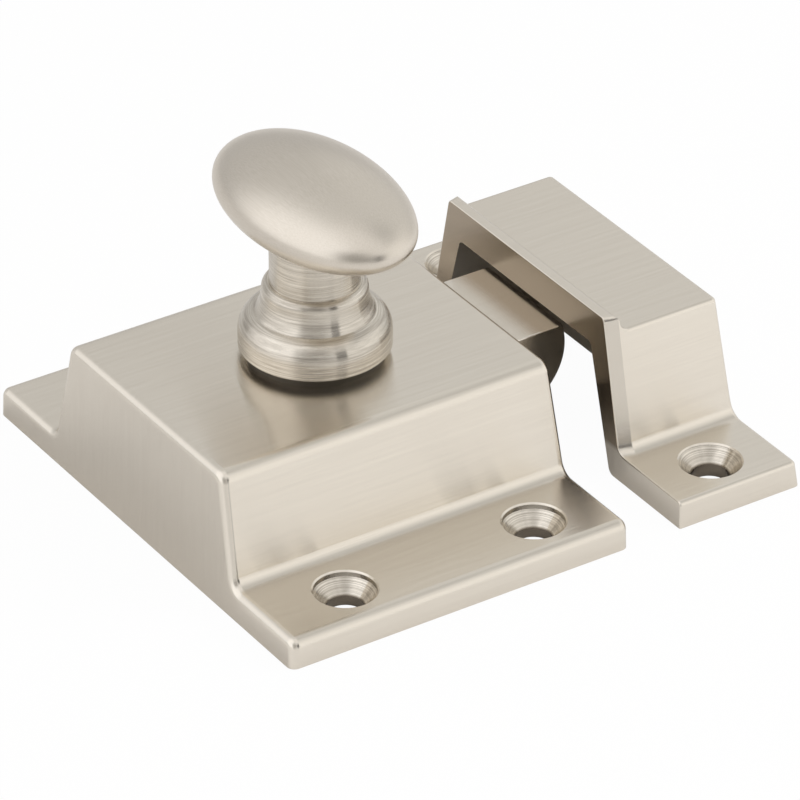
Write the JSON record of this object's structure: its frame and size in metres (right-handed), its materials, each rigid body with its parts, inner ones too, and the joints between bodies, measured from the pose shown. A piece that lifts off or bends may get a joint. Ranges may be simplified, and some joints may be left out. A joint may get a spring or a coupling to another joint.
{
  "type": "cabinet latch",
  "caption": "Surface-mounted cabinet latch: an oval turn knob draws a sprung, round-nosed bolt back out of a separate strike.",
  "frame": {"origin": "on the mounting plane under the knob's axis, which is the centre of the case's four screw holes", "axes": "+X along the bolt towards the strike, +Y across the flanges, +Z out of the mounting plane towards the knob"},
  "size_m": [0.0552, 0.0508, 0.0336],
  "materials": {
    "case": "satin nickel plate, brushed lengthwise",
    "back_plate": "zinc plated",
    "plate_screws": "zinc plated",
    "bolt": "satin nickel plate, brushed lengthwise",
    "bolt_spring": "drawn spring wire",
    "knob_head": "satin nickel plate, softly polished",
    "knob_collar": "satin nickel plate over a turned surface",
    "thrust_washer": "dull",
    "spindle": "turned",
    "cam": "machined",
    "cam_clip": "blued spring steel",
    "strike": "satin nickel plate, brushed lengthwise"
  },
  "bodies": {
    "case": {"case": "case", "back_plate": "back_plate", "plate_screws": "plate_screws", "bolt_spring": "bolt_spring", "thrust_washer": "thrust_washer", "strike": "strike"},
    "knob": {"knob_head": "knob_head", "knob_collar": "knob_collar", "spindle": "spindle", "cam": "cam", "cam_clip": "cam_clip"},
    "bolt": {"bolt": "bolt"}
  },
  "joints": [
    {"name": "knob_turn", "type": "hinge", "parent": "case", "child": "knob", "pos_m": [0, 0, 0.0136], "axis": [0, 0, -1], "range_deg": [0, 90], "stiffness_Nm_per_rad": 0.0073, "springref_deg": -59.99},
    {"name": "bolt_slide", "type": "slide", "parent": "case", "child": "bolt", "axis": [-1, 0, 0], "range_m": [0, 0.006], "deforming": ["bolt_spring"]}
  ],
  "couplings": [
    {"joint": "knob_turn", "follows": "bolt_slide", "rad_per_m": 261.8}
  ]
}
